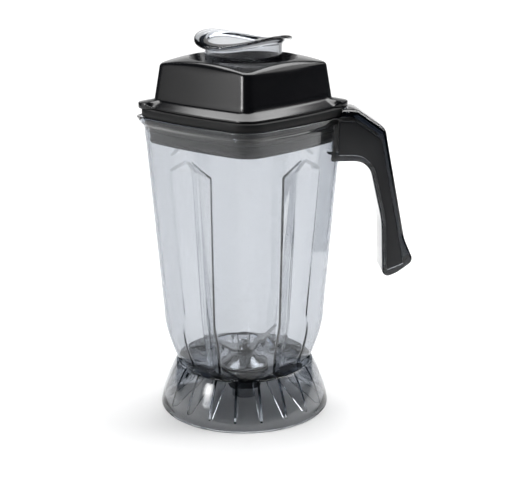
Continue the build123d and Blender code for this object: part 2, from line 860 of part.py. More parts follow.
lower_plan = [
    (-tip_half, -lower_blade_reach),
    (hub_half - blade_sweep, -lower_blade_reach),
    (hub_half, -lower_blade_hub),
    (hub_half, lower_blade_hub),
    (tip_half, lower_blade_reach),
    (-hub_half + blade_sweep, lower_blade_reach),
    (-hub_half, lower_blade_hub),
    (-hub_half, -lower_blade_hub),
]
keep(blade_blank(Plane.XZ, upper_line, upper_plan), "upper_blade")
keep(blade_blank(Plane.YZ, lower_line, lower_plan), "lower_blade")
keep(washer(blade_bottom, washer_thickness, spacer_radius, race_bore), "blade_spacer")
keep(washer(blade_top, washer_thickness, washer_radius, race_bore), "blade_washer")

# Acorn nut on the blades
with BuildPart() as blade_nut:
    with BuildSketch(Plane.XY.offset(acorn_bottom)):
        RegularPolygon(acorn_across_flats / 2, 6, major_radius=False)
    extrude(amount=acorn_hex_height)
    with Locations((0, 0, acorn_bottom + acorn_hex_height)):
        Sphere(acorn_dome_radius)
    with BuildSketch(Plane.XY.offset(acorn_bottom)):
        Circle(2 * acorn_dome_radius)
    extrude(amount=-2 * acorn_dome_radius, mode=Mode.SUBTRACT)
    with BuildSketch(Plane.XY.offset(acorn_bottom)):
        Circle(race_bore)
    extrude(amount=acorn_hex_height, mode=Mode.SUBTRACT)
keep(blade_nut.part, "blade_nut")

# Drive socket with a round mouth and a splined hole
with BuildPart() as drive_socket:
    add(washer(socket_bottom, socket_length, socket_radius, race_bore))
    with BuildSketch(Plane.XY.offset(socket_bottom)):
        Circle(socket_mouth_radius)
    extrude(amount=socket_mouth_depth, mode=Mode.SUBTRACT)
    with BuildSketch(Plane.XY.offset(socket_bottom)):
        Circle(socket_root_radius)
        with PolarLocations(0, socket_teeth):
            Rectangle(socket_tooth_radius, socket_tooth_width, align=(Align.MIN, Align.CENTER))
    extrude(amount=socket_depth, mode=Mode.SUBTRACT)
keep(drive_socket.part, "drive_socket")
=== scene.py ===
import json
from math import acos, atan2, ceil, cos, hypot, pi, radians, sin, sqrt, tan

import bmesh
import bpy
import numpy as np
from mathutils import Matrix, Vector

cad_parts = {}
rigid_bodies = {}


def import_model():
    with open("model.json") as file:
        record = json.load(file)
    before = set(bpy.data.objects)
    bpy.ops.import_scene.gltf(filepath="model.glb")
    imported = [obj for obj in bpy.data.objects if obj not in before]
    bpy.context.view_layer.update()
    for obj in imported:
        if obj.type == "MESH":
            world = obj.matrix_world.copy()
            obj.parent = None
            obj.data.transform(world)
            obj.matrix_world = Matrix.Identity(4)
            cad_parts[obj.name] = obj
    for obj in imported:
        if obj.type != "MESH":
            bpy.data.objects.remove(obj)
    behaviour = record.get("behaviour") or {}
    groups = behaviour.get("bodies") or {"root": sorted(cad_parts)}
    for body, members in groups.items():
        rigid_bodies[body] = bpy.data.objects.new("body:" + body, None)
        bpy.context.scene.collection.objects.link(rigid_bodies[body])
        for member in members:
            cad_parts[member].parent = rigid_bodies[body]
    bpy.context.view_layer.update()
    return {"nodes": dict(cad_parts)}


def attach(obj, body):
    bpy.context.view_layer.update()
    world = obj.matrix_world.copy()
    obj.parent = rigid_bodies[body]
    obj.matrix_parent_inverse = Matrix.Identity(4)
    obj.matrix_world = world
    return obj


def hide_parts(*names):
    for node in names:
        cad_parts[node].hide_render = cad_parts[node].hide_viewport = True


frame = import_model()
nodes = frame["nodes"]
mm = 0.001
print("frame loaded with", len(nodes), "nodes")


# helpers for colours, nodes and meshes

def hexColor(code):
    channels = [int(code[i:i + 2], 16) / 255 for i in (1, 3, 5)]
    linear = [c / 12.92 if c <= 0.04045 else ((c + 0.055) / 1.055) ** 2.4 for c in channels]
    return (*linear, 1.0)


def addNode(tree, kind, inputs=None, links=None, **settings):
    node = tree.nodes.new(kind)
    for key, value in settings.items():
        setattr(node, key, value)
    for key, value in (inputs or {}).items():
        node.inputs[key].default_value = value
    for key, source in (links or {}).items():
        tree.links.new(source, node.inputs[key])
    return node


def newMaterial(name):
    material = bpy.data.materials.new(name)
    material.use_nodes = True
    tree = material.node_tree
    tree.nodes.clear()
    return material, tree


def linkObject(name, mesh, material):
    thing = bpy.data.objects.new(name, mesh)
    bpy.context.scene.collection.objects.link(thing)
    mesh.materials.clear()
    mesh.materials.append(material)
    return thing


def smoothShade(mesh, sharpAngle=32.0):
    mesh.shade_smooth()
    mesh.set_sharp_from_angle(angle=radians(sharpAngle))


# rows is a list of (radius, height) rings in mm, each an array over the angles or one number
def ringMesh(name, rows, angles, closed):
    count = len(angles)
    rings = []
    for radius, height in rows:
        radius = np.broadcast_to(np.asarray(radius, float), (count,))
        height = np.broadcast_to(np.asarray(height, float), (count,))
        rings.append(np.stack([radius * np.cos(angles), radius * np.sin(angles), height], 1))
    points = []
    index = []
    for ring in rings:
        if np.abs(ring[:, :2]).max() < 1e-6:  # a ring of no radius is one point on the axis
            index.append([len(points)] * count)
            points.append(ring[0])
        else:
            index.append(list(range(len(points), len(points) + count)))
            points.extend(ring)
    faces = []
    pairs = list(zip(index, index[1:]))
    if closed:
        pairs.append((index[-1], index[0]))
    for low, high in pairs:
        for i in range(count):
            j = (i + 1) % count
            corners = [low[i], low[j], high[j], high[i]]
            faces.append([c for n, c in enumerate(corners) if c not in corners[:n]])
    mesh = bpy.data.meshes.new(name)
    mesh.from_pydata([tuple(p * mm) for p in np.array(points)], [], faces)
    mesh.update()
    return mesh


# layers is a list of (y, outline) plates in mm; every outline has the same number of (x, z) points
def layerMesh(name, layers):
    count = len(layers[0][1])
    points = [(x * mm, y * mm, z * mm) for y, outline in layers for x, z in outline]
    faces = []
    for layer in range(len(layers) - 1):
        for i in range(count):
            j = (i + 1) % count
            a = layer * count
            faces.append([a + i, a + j, a + count + j, a + count + i])
    faces.append(list(range(count))[::-1])
    faces.append([(len(layers) - 1) * count + i for i in range(count)])
    mesh = bpy.data.meshes.new(name)
    mesh.from_pydata(points, [], faces)
    work = bmesh.new()
    work.from_mesh(mesh)
    bmesh.ops.recalc_face_normals(work, faces=work.faces)
    work.to_mesh(mesh)
    work.free()
    return mesh


def bakedMesh(thing):
    bpy.context.view_layer.update()
    graph = bpy.context.evaluated_depsgraph_get()
    finished = thing.evaluated_get(graph)
    return bpy.data.meshes.new_from_object(finished, preserve_all_data_layers=True, depsgraph=graph)


def joinSolids(base, tools, operation):
    for tool in tools:
        change = base.modifiers.new("join", "BOOLEAN")
        change.operation = operation
        change.solver = "MANIFOLD"
        change.object = tool
    mesh = bakedMesh(base)
    base.modifiers.clear()
    old = base.data
    base.data = mesh
    bpy.data.meshes.remove(old)
    for tool in tools:
        oldTool = tool.data
        bpy.data.objects.remove(tool)
        bpy.data.meshes.remove(oldTool)
    return base


def softMin(a, b, blend):
    near = np.clip(blend - np.abs(a - b), 0, None) / blend
    return np.minimum(a, b) - near * near * blend / 4


def softMax(a, b, blend):
    return -softMin(-a, -b, blend)


# polar radius of a square on its corner with rounded corners and bowed sides
def squareRadius(angles, corner, flat, cornerRound):
    turn = np.abs((angles + pi / 4) % (pi / 2) - pi / 4)
    reach = corner - cornerRound
    inset = flat - cornerRound
    back = (reach ** 2 - inset ** 2) / (2 * inset - sqrt(2) * reach)
    alongX = reach + back * sqrt(0.5)
    alongY = back * sqrt(0.5)
    stretch = cornerRound / hypot(alongX, alongY)
    tangent = atan2(alongY * stretch, reach + alongX * stretch)
    inArc = np.clip(cornerRound ** 2 - (reach * np.sin(turn)) ** 2, 0, None)
    cornerArc = reach * np.cos(turn) + np.sqrt(inArc)
    toward = -back * np.cos(pi / 4 - turn)
    sideArc = toward + np.sqrt((flat + back) ** 2 - back ** 2 + toward ** 2)
    return np.where(turn < tangent, cornerArc, sideArc)


# polar radius of a round tab whose centre lies out from the axis in one direction
def tabRadius(angles, direction, centre, tabRound):
    turn = (angles - direction + pi) % (2 * pi) - pi
    inside = tabRound ** 2 - (centre * np.sin(turn)) ** 2
    shown = (inside > 0) & (np.cos(turn) > 0) & (tabRound > 0)
    return np.where(shown, centre * np.cos(turn) + np.sqrt(np.clip(inside, 0, None)), 0.0)


# outline through (x, z, round) corners, solid on its left; a corner that is nearly straight stays a point
def roundedPath(corners, arcSteps=8, nearlyStraight=0.01):
    path = []
    for i, (x, z, cornerRound) in enumerate(corners):
        here = Vector((x, z))
        back = (Vector(corners[i - 1][:2]) - here).normalized()
        ahead = (Vector(corners[(i + 1) % len(corners)][:2]) - here).normalized()
        half = acos(max(-1, min(1, back.dot(ahead)))) / 2
        if cornerRound <= 0 or half > pi / 2 - nearlyStraight:
            path.append((x, z))
            continue
        run = cornerRound / tan(half)
        centre = here + (back + ahead).normalized() * (cornerRound / sin(half))
        first = here + back * run - centre
        last = here + ahead * run - centre
        start = atan2(first.y, first.x)
        sweep = (atan2(last.y, last.x) - start + pi) % (2 * pi) - pi
        for step in range(arcSteps + 1):
            angle = start + sweep * step / arcSteps
            path.append((centre.x + cornerRound * cos(angle), centre.y + cornerRound * sin(angle)))
    return path


# the same corners with every straight moved inwards by its own inset; straight i starts at corner i
def movedCorners(corners, insets, leastRound=0.6):
    lines = []
    for i, inset in enumerate(insets):
        start = Vector(corners[i][:2])
        along = (Vector(corners[(i + 1) % len(corners)][:2]) - start).normalized()
        lines.append((start + Vector((-along.y, along.x)) * inset, along))
    moved = []
    for i, (point, along) in enumerate(lines):
        before, back = lines[i - 1]
        turn = back.x * along.y - back.y * along.x
        gap = point - before
        place = before + back * ((gap.x * along.y - gap.y * along.x) / turn)
        inset = (insets[i - 1] + insets[i]) / 2
        cornerRound = corners[i][2]
        if cornerRound > 0:
            cornerRound = max(cornerRound - inset, leastRound) if turn > 0 else cornerRound + inset
        moved.append((place.x, place.y, cornerRound))
    return moved


# materials

# Clear copolyester with a grey-blue smoke dye, injection moulded in a polished tool: see-through, sharp
# reflections, darker wherever the eye looks along a wall
smokeCopolyester = {"tint": "#6E7C8D", "density": 170.0, "ior": 1.54, "roughness": 0.015, "waveMm": 18.0}
# ABS moulded in a polished tool: black and glossy, with a slight waviness from shrinkage
polishedAbs = {"color": "#08080A", "roughness": 0.2, "roughSpread": 0.02, "ior": 1.53, "waveMm": 26.0}
# the grain and the streaks below are drawn coarser than real ones, so that they show in the render
grain = {"darkShare": 0.85, "roughSpread": 0.06, "depthMm": 0.02, "groundDepthMm": 0.005}
# Silicone rubber, pressed: black and dull
siliconeRubber = {"color": "#0C0D0E", "roughness": 0.5, "grainMm": 1.2, "gloss": 0.25}
# Polypropylene moulded in a spark-eroded tool: dark grey, even fine grain
grainedPolypropylene = {"color": "#1B1C1F", "roughness": 0.5, "grainMm": 0.9, "gloss": 0.35}
# Stainless steel, brushed: bright with fine streaks
brushedStainless = {"color": "#C9CACB", "roughness": 0.22, "smoother": 0.08, "rougher": 0.1, "streakMm": 0.8,
                    "streakStretch": 0.06}
# Steel turned or ground: even, a little darker
groundSteel = {"color": "#9FA1A4", "roughness": 0.3, "grainMm": 0.6, "gloss": 0.5}
# Nylon, moulded: black with a satin face
mouldedNylon = {"color": "#101112", "roughness": 0.45, "grainMm": 1.0, "gloss": 0.35}


def makeSmoke(name, values):
    material, tree = newMaterial(name)
    place = addNode(tree, "ShaderNodeTexCoord")
    # flow lines of the melt, only just felt in the reflections
    waves = addNode(tree, "ShaderNodeTexNoise", {"Scale": 1 / (values["waveMm"] * mm), "Detail": 1.0},
                    {"Vector": place.outputs["Object"]})
    bump = addNode(tree, "ShaderNodeBump", {"Strength": 0.03, "Distance": 0.5 * mm},
                   {"Height": waves.outputs["Fac"]})
    shader = addNode(tree, "ShaderNodeBsdfPrincipled",
                     {"Base Color": (1, 1, 1, 1), "Roughness": values["roughness"], "IOR": values["ior"],
                      "Transmission Weight": 1.0}, {"Normal": bump.outputs["Normal"]})
    dye = addNode(tree, "ShaderNodeVolumeAbsorption",
                  {"Color": hexColor(values["tint"]), "Density": values["density"]})
    addNode(tree, "ShaderNodeOutputMaterial", None,
            {"Surface": shader.outputs["BSDF"], "Volume": dye.outputs["Volume"]})
    return material


def makeGrained(name, values, metallic=0.0, depthMm=grain["depthMm"]):
    material, tree = newMaterial(name)
    place = addNode(tree, "ShaderNodeTexCoord")
    spots = addNode(tree, "ShaderNodeTexNoise", {"Scale": 1 / (values["grainMm"] * mm), "Detail": 2.0},
                    {"Vector": place.outputs["Object"]})
    light = hexColor(values["color"])
    dark = tuple(c * grain["darkShare"] for c in light[:3]) + (1.0,)
    shade = addNode(tree, "ShaderNodeMix", {6: dark, 7: light}, {0: spots.outputs["Fac"]}, data_type="RGBA")
    rough = addNode(tree, "ShaderNodeMapRange",
                    {"To Min": values["roughness"] - grain["roughSpread"],
                     "To Max": values["roughness"] + grain["roughSpread"]}, {"Value": spots.outputs["Fac"]})
    bump = addNode(tree, "ShaderNodeBump", {"Strength": 0.4, "Distance": depthMm * mm},
                   {"Height": spots.outputs["Fac"]})
    shader = addNode(tree, "ShaderNodeBsdfPrincipled",
                     {"Metallic": metallic, "Specular IOR Level": values["gloss"]},
                     {"Base Color": shade.outputs[2], "Roughness": rough.outputs["Result"],
                      "Normal": bump.outputs["Normal"]})
    addNode(tree, "ShaderNodeOutputMaterial", None, {"Surface": shader.outputs["BSDF"]})
    return material


def makePolished(name, values):
    material, tree = newMaterial(name)
    place = addNode(tree, "ShaderNodeTexCoord")
    waves = addNode(tree, "ShaderNodeTexNoise", {"Scale": 1 / (values["waveMm"] * mm), "Detail": 1.0},
                    {"Vector": place.outputs["Object"]})
    rough = addNode(tree, "ShaderNodeMapRange",
                    {"To Min": values["roughness"] - values["roughSpread"],
                     "To Max": values["roughness"] + values["roughSpread"]}, {"Value": waves.outputs["Fac"]})
    bump = addNode(tree, "ShaderNodeBump", {"Strength": 0.05, "Distance": 0.4 * mm},
                   {"Height": waves.outputs["Fac"]})
    shader = addNode(tree, "ShaderNodeBsdfPrincipled",
                     {"Base Color": hexColor(values["color"]), "IOR": values["ior"]},
                     {"Roughness": rough.outputs["Result"], "Normal": bump.outputs["Normal"]})
    addNode(tree, "ShaderNodeOutputMaterial", None, {"Surface": shader.outputs["BSDF"]})
    return material


def makeBrushed(name, values):
    material, tree = newMaterial(name)
    place = addNode(tree, "ShaderNodeTexCoord")
    # long streaks along X on every face
    stretched = addNode(tree, "ShaderNodeMapping", {"Scale": (values["streakStretch"], 1.0, 1.0)},
                        {"Vector": place.outputs["Object"]})
    streaks = addNode(tree, "ShaderNodeTexNoise", {"Scale": 1 / (values["streakMm"] * mm), "Detail": 3.0},
                      {"Vector": stretched.outputs["Vector"]})
    rough = addNode(tree, "ShaderNodeMapRange",
                    {"To Min": values["roughness"] - values["smoother"],
                     "To Max": values["roughness"] + values["rougher"]}, {"Value": streaks.outputs["Fac"]})
    bump = addNode(tree, "ShaderNodeBump", {"Strength": 0.25, "Distance": 0.02 * mm},
                   {"Height": streaks.outputs["Fac"]})
    shader = addNode(tree, "ShaderNodeBsdfPrincipled",
                     {"Base Color": hexColor(values["color"]), "Metallic": 1.0},
                     {"Roughness": rough.outputs["Result"], "Normal": bump.outputs["Normal"]})
    addNode(tree, "ShaderNodeOutputMaterial", None, {"Surface": shader.outputs["BSDF"]})
    return material


smokeMaterial = makeSmoke("smokeCopolyester", smokeCopolyester)
lidMaterial = makePolished("polishedBlackAbs", polishedAbs)
rubberMaterial = makeGrained("siliconeRubber", siliconeRubber)
gripMaterial = makeGrained("grainedPolypropylene", grainedPolypropylene)
bladeMaterial = makeBrushed("brushedStainless", brushedStainless)
steelMaterial = makeGrained("groundSteel", groundSteel, metallic=1.0, depthMm=grain["groundDepthMm"])
nylonMaterial = makeGrained("mouldedNylon", mouldedNylon)
print("materials made")


# jar body: one moulding with skirt, ribs, rim, pouring lip and handle

jar = {
    "wall": 3.2, "rimHeight": 251.0, "rimCorner": 81.8, "rimFlat": 66.4, "rimRound": 20.0,
    "shoulderHeight": 84.0, "shoulderCorner": 68.5, "shoulderFlat": 56.0, "shoulderRound": 18.0,
    "footHeight": 40.0, "footCorner": 57.5, "footFlat": 48.5, "footRound": 18.0,
    "rimOverhang": 2.6, "rimBand": 4.0, "rimCove": 4.6, "rimEdge": 0.9,
    "lipReach": 87.4, "lipRound": 13.0, "lipAngle": 40.0, "lipBlend": 3.0,
    "floorCorner": 31.0, "floorFlat": 29.6, "floorHeight": 33.0, "floorThickness": 4.0, "tailHole": 11.55,
    "floorRing": 20.0, "underRing": 22.0, "dishCurve": 1.6, "sharpAngle": 28.0,
    # heights of the rings, close together where the wall bends; the dish's are shares of its width
    "bowlRings": [40.3, 41.5, 43, 46, 50, 54, 59, 64, 69, 74, 79, 84],
    "wallRings": [90, 102, 120, 145, 170, 195, 206, 209.5], "gableRings": 15, "gableStep": 0.9,
    "neckRings": [226, 230, 235, 240.5], "plugRings": 5, "plugDrop": 2.5, "plugStep": 1.5,
    "coveSteps": 6, "edgeSteps": 4, "dishShares": [0.1, 0.22, 0.36, 0.5, 0.64, 0.78, 0.9, 1.0],
}
groove = {
    "depth": 6.6, "halfWidth": 25.0, "footDepth": 7.0, "footHalfWidth": 18.0, "flat": 2.0,
    "eaves": 211.5, "apex": 222.0, "runOut": 2.2, "overrun": 40.0, "edge": 0.5, "root": 0.6,
}
# edges are steps of (inwards, up or down) from the sharp corner
skirt = {
    "radius": 72.5, "bulge": 1.9, "wall": 3.0, "boreRadius": 69.5, "boreLength": 7.0, "topRadius": 58.4,
    "footEdge": [(0.6, 0.0), (0.15, 0.2), (0.02, 0.7)], "topEdge": [(0.15, 0.25), (0.6, 0.0)],
    "boreEdge": 0.5, "outerSteps": 12, "outerEnd": 0.96, "innerSteps": 10,
    "cove": [(44.0, 32.8), (52.5, 36.2)],
    "ribCount": 20, "ribThickness": 2.0, "ribFoot": 4.0, "ribBottom": 7.2,
    "ribBack": [(70.6, 7.2), (64.9, 23.2), (57.0, 38.6)], "ribHead": (36.5, 31.0),
}
# columns of a quarter in degrees, close together where the edges of a groove run
columns = {"corner": (0, 18, 1.5), "nearEdge": (18, 31, 0.35), "bottom": (31, 59, 0.9),
           "farEdge": (59, 72, 0.35), "nextCorner": (72, 90, 1.5)}
quarter = np.concatenate([np.linspace(first, last, ceil((last - first) / step), endpoint=False)
                          for first, last, step in columns.values()])
angles = np.radians(np.concatenate([quarter + 90 * turn for turn in range(4)]))


def mix(low, high, share):
    return low + (high - low) * share


def jarSection(height, inset):
    if height >= jar["shoulderHeight"]:
        share = (height - jar["shoulderHeight"]) / (jar["rimHeight"] - jar["shoulderHeight"])
        low, high = "shoulder", "rim"
    else:
        rise = max(0, height - jar["footHeight"])
        share = sin(pi / 2 * rise / (jar["shoulderHeight"] - jar["footHeight"]))
        low, high = "foot", "shoulder"
    return [mix(jar[low + part], jar[high + part], share) - inset for part in ("Corner", "Flat", "Round")]


def grooveRadius(height, inset):
    top = groove["apex"] + groove["runOut"]
    outStep = groove["depth"] * groove["runOut"] / (groove["apex"] - groove["eaves"])
    heights = [jar["footHeight"] - jar["floorThickness"], jar["shoulderHeight"], groove["eaves"], top,
               top + groove["overrun"]]
    bottoms = [jar["footFlat"] - groove["footDepth"], jar["shoulderFlat"] - groove["footDepth"],
               jarSection(groove["eaves"], 0)[1] - groove["depth"],
               jarSection(groove["apex"], 0)[1] + outStep]
    bottoms.append(bottoms[3] + groove["overrun"] * outStep / groove["runOut"])
    bottom = np.interp(height, heights, bottoms)
    half = np.interp(height, heights[:3], [groove["footHalfWidth"]] * 2 + [groove["halfWidth"]])
    depth = np.interp(height, heights[:3], [groove["footDepth"]] * 2 + [groove["depth"]])
    slope = depth / (half - groove["flat"])
    low = bottom - inset * hypot(1, groove["depth"] / (groove["halfWidth"] - groove["flat"]))
    turn = np.abs(angles % (pi / 2) - pi / 4)
    floorLine = low / np.cos(turn)
    armLine = (low - groove["flat"] * slope) / (np.cos(turn) - slope * np.sin(turn))
    return softMax(floorLine, armLine, groove["root"])


def jarWall(height, inset):
    square = squareRadius(angles, *jarSection(height, inset))
    radius = softMin(square, grooveRadius(height, inset), groove["edge"])
    lipRound = jar["lipRound"] - max(inset, 0) - (jar["rimHeight"] - height) * tan(radians(jar["lipAngle"]))
    if lipRound > 0:
        lip = tabRadius(angles, pi, jar["lipReach"] - jar["lipRound"], lipRound)
        radius = np.where(lip > 0, softMax(radius, lip, jar["lipBlend"]), radius)
    return radius


def bulged(start, end, bulge, share):
    alongX, alongZ = end[0] - start[0], end[1] - start[1]
    length = hypot(alongX, alongZ)
    side = 4 * share * (1 - share) * bulge / length
    return start[0] + alongX * share + abs(alongZ) * side, start[1] + alongZ * share + abs(alongX) * side


wallHeights = jar["bowlRings"] + jar["wallRings"]
wallHeights += [groove["eaves"] + step * jar["gableStep"] for step in range(jar["gableRings"])]
wallHeights += jar["neckRings"]
beadBottom = jar["rimHeight"] - jar["rimBand"] - jar["rimCove"]
beadMiddle = jar["rimHeight"] - jar["rimBand"]
skirtFoot = (skirt["radius"], 0)
skirtHead = (skirt["topRadius"], jar["footHeight"])
jarRows = [(skirt["radius"] - inwards, up) for inwards, up in skirt["footEdge"]]
for step in range(1, skirt["outerSteps"] + 1):
    share = skirt["outerEnd"] * step / skirt["outerSteps"]
    jarRows.append(bulged(skirtFoot, skirtHead, skirt["bulge"], share))
jarRows += [(skirt["topRadius"] - inwards, jar["footHeight"] - down) for inwards, down in skirt["topEdge"]]
for height in wallHeights:
    jarRows.append((jarWall(height, 0), height))
for step in range(jar["coveSteps"] + 1):
    share = step / jar["coveSteps"]
    height = mix(beadBottom, beadMiddle, share)
    jarRows.append((jarWall(height, -jar["rimOverhang"] * share * share * (3 - 2 * share)), height))
edge = jar["rimEdge"]
quarterTurn = [pi / 2 * step / jar["edgeSteps"] for step in range(jar["edgeSteps"] + 1)]
for angle in quarterTurn:
    height = jar["rimHeight"] - edge + edge * sin(angle)
    jarRows.append((jarWall(height, -jar["rimOverhang"]) - edge * (1 - cos(angle)), height))
for angle in quarterTurn:
    height = jar["rimHeight"] - edge + edge * cos(angle)
    jarRows.append((jarWall(height, jar["wall"]) + edge * (1 - sin(angle)), height))
plugTop = jar["rimHeight"] - jar["plugDrop"]
plugHeights = [plugTop - step * jar["plugStep"] for step in range(jar["plugRings"])]
for height in plugHeights + wallHeights[::-1]:
    jarRows.append((jarWall(height, jar["wall"]), height))
floorRadius = squareRadius(angles, jar["floorCorner"], jar["floorFlat"], jar["footRound"])
dishTop = jarWall(jar["footHeight"], jar["wall"])
for share in jar["dishShares"]:
    height = mix(jar["floorHeight"], jar["footHeight"], (1 - share) ** jar["dishCurve"])
    jarRows.append((mix(dishTop, floorRadius, share), height))
floorBottom = jar["floorHeight"] - jar["floorThickness"]
skirtTop = (skirt["topRadius"] - skirt["wall"], jar["footHeight"] - skirt["wall"])
bore = (skirt["boreRadius"], skirt["boreLength"])
jarRows += [(jar["floorRing"], jar["floorHeight"]), (jar["tailHole"], jar["floorHeight"]),
            (jar["tailHole"], floorBottom), (jar["underRing"], floorBottom),
            (jar["floorCorner"] + jar["wall"], floorBottom), *skirt["cove"], skirtTop]
for step in range(1, skirt["innerSteps"] + 1):
    jarRows.append(bulged(skirtTop, bore, skirt["bulge"], step / skirt["innerSteps"]))
jarRows += [(skirt["boreRadius"], skirt["boreLength"] / 2), (skirt["boreRadius"], skirt["boreEdge"]),
            (skirt["boreRadius"] + skirt["boreEdge"], 0.0)]
jarBody = linkObject("jarBody", ringMesh("jarBody", jarRows, angles, closed=True), smokeMaterial)
print("jar shell:", len(jarBody.data.polygons), "faces")


# ribs under the skirt: one rib, repeated round the axis by a node tree

def ribTree():
    tree = bpy.data.node_groups.new("skirtRibs", "GeometryNodeTree")
    tree.interface.new_socket("Rib", in_out="INPUT", socket_type="NodeSocketGeometry")
    tree.interface.new_socket("Count", in_out="INPUT", socket_type="NodeSocketInt")
    tree.interface.new_socket("Finish", in_out="INPUT", socket_type="NodeSocketMaterial")
    tree.interface.new_socket("Ribs", in_out="OUTPUT", socket_type="NodeSocketGeometry")
    given = addNode(tree, "NodeGroupInput")
    places = addNode(tree, "GeometryNodePoints", None, {"Count": given.outputs["Count"]})
    number = addNode(tree, "GeometryNodeInputIndex")
    middle = addNode(tree, "ShaderNodeMath", {1: 0.5}, {0: number.outputs[0]}, operation="ADD")
    turns = addNode(tree, "ShaderNodeMath", None, {0: middle.outputs[0], 1: given.outputs["Count"]},
                    operation="DIVIDE")
    angle = addNode(tree, "ShaderNodeMath", {1: 2 * pi}, {0: turns.outputs[0]}, operation="MULTIPLY")
    turned = addNode(tree, "ShaderNodeCombineXYZ", None, {"Z": angle.outputs[0]})
    copies = addNode(tree, "GeometryNodeInstanceOnPoints", None,
                     {"Points": places.outputs[0], "Instance": given.outputs["Rib"],
                      "Rotation": turned.outputs[0]})
    solid = addNode(tree, "GeometryNodeRealizeInstances", None, {"Geometry": copies.outputs[0]})
    finish = addNode(tree, "GeometryNodeSetMaterial", None,
                     {"Geometry": solid.outputs[0], "Material": given.outputs["Finish"]})
    addNode(tree, "NodeGroupOutput", None, {"Ribs": finish.outputs[0]})
    return tree


def setInput(change, tree, name, value):
    socket = [s for s in tree.interface.items_tree if s.name == name and s.in_out == "INPUT"][0]
    change[socket.identifier] = value


halfRib = skirt["ribThickness"] / 2
ribOutline = [(skirt["boreRadius"] - skirt["ribFoot"], skirt["ribBottom"]), *skirt["ribBack"],
              skirt["ribHead"]]
ribBlock = layerMesh("skirtRibs", [(-halfRib, ribOutline), (halfRib, ribOutline)])
ribs = linkObject("skirtRibs", ribBlock, smokeMaterial)
tree = ribTree()
change = ribs.modifiers.new("repeat", "NODES")
change.node_group = tree
setInput(change, tree, "Count", skirt["ribCount"])
setInput(change, tree, "Finish", smokeMaterial)
ribMesh = bakedMesh(ribs)
ribs.modifiers.clear()
ribs.data = ribMesh


# handle with a recess for a grip panel on each side, joined with the ribs to the jar's shell

# a corner is (x, z, round); there is one edge rounding for each straight of the handle
handle = {
    "halfWidth": 17.5, "root": 61.8, "top": 256.5, "under": 213.8, "step": 0.6, "web": 4.0,
    "palm": (101.9, 213.8, 15.0), "bend": (113.9, 163.0, 80.0), "heel": (115.9, 112.4, 5.0),
    "belly": (128.5, 117.6, 30.0), "toe": (142.2, 127.8, 6.0), "flare": (134.1, 146.3, 40.0),
    "knee": (115.2, 240.6, 10.0), "shoulder": (92.0, 256.5, 12.0),
    "edges": [3.0, 3.0, 3.0, 3.0, 3.0, 3.0, 4.4, 5.0, 5.0, 0.0], "leastRound": 1.5,
    "edgeDepths": [0, 0.25, 0.7, 1.3, 2.1, 3.0, 4.0, 5.0], "cutPast": 5.0,
    "hollowBottom": 190.0, "hollowTop": 270.0, "hollowColumns": 160,
}
panel = {
    "start": 76.6, "borders": [5.4, 3.3, 3.3, 6.2, 4.9, 8.6, 9.4, 0.0], "startRound": 0.5, "heelRound": 6.0,
    "endRound": 7.0, "shoulderRound": 11.0, "gap": 0.2, "recess": 4.0, "ledge": 2.4, "thickness": 3.6,
    "pocketStart": 87.4, "edge": 0.8, "edgeStart": (0.25, 0.2), "rimCutBottom": 200.0,
}
handleCorners = [(handle["root"], handle["under"], 0), handle["palm"], handle["bend"], handle["heel"],
                 handle["belly"], handle["toe"], handle["flare"], handle["knee"], handle["shoulder"],
                 (handle["root"], handle["top"], 0)]


def edgeInset(edgeRound, depth):
    if depth >= edgeRound:
        return 0.0
    return edgeRound * (1 - sqrt(1 - (1 - depth / edgeRound) ** 2))


# the panel's back runs on straight past the handle's flare, down to the end line
def panelOutline(inset, start):
    flare, knee = Vector(handle["flare"][:2]), Vector(handle["knee"][:2])
    heel, belly = Vector(handle["heel"][:2]), Vector(handle["belly"][:2])
    down, along, gap = flare - knee, belly - heel, heel - knee
    step = (gap.x * along.y - gap.y * along.x) / (down.x * along.y - down.y * along.x)
    end = knee + down * step
    corners = [(start, handle["under"], panel["startRound"]), handle["palm"], handle["bend"],
               (*handle["heel"][:2], panel["heelRound"]), (end.x, end.y, panel["endRound"]), handle["knee"],
               (*handle["shoulder"][:2], panel["shoulderRound"]), (start, handle["top"], panel["startRound"])]
    insets = [border + inset for border in panel["borders"]]
    insets[-1] = 0.0
    return roundedPath(movedCorners(corners, insets))


halfWidth = handle["halfWidth"]
layers = []
for side in (-1, 1):
    for depth in handle["edgeDepths"][::-side]:
        insets = [edgeInset(edgeRound, depth) for edgeRound in handle["edges"]]
        corners = movedCorners(handleCorners, insets, leastRound=handle["leastRound"])
        layers.append((side * (halfWidth - depth), roundedPath(corners)))
handleSolid = linkObject("handleSolid", layerMesh("handleSolid", layers), smokeMaterial)
cutters = []
for side in (-1, 1):
    for inset, start, depth in ((0.0, panel["start"], panel["recess"]),
                                (panel["ledge"], panel["pocketStart"], halfWidth - handle["web"] / 2)):
        outline = panelOutline(inset, start)
        plates = [(side * (halfWidth - depth), outline), (side * (halfWidth + handle["cutPast"]), outline)]
        cutters.append(linkObject("cut", layerMesh("cut", sorted(plates)), smokeMaterial))
coarse = np.linspace(0, 2 * pi, handle["hollowColumns"], endpoint=False)
hollowRows = [(0, handle["hollowBottom"])]
for height, inset in ((handle["hollowBottom"], jar["wall"] / 2), (jar["rimHeight"], jar["wall"] / 2),
                      (jar["rimHeight"], -jar["rimOverhang"] - handle["step"]),
                      (handle["hollowTop"], -jar["rimOverhang"] - handle["step"])):
    hollowRows.append((squareRadius(coarse, *jarSection(min(height, jar["rimHeight"]), inset)), height))
hollowRows.append((0, handle["hollowTop"]))
cutters.append(linkObject("cut", ringMesh("cut", hollowRows, coarse, closed=False), smokeMaterial))
joinSolids(handleSolid, cutters, "DIFFERENCE")
rimRows = [(0, panel["rimCutBottom"])]
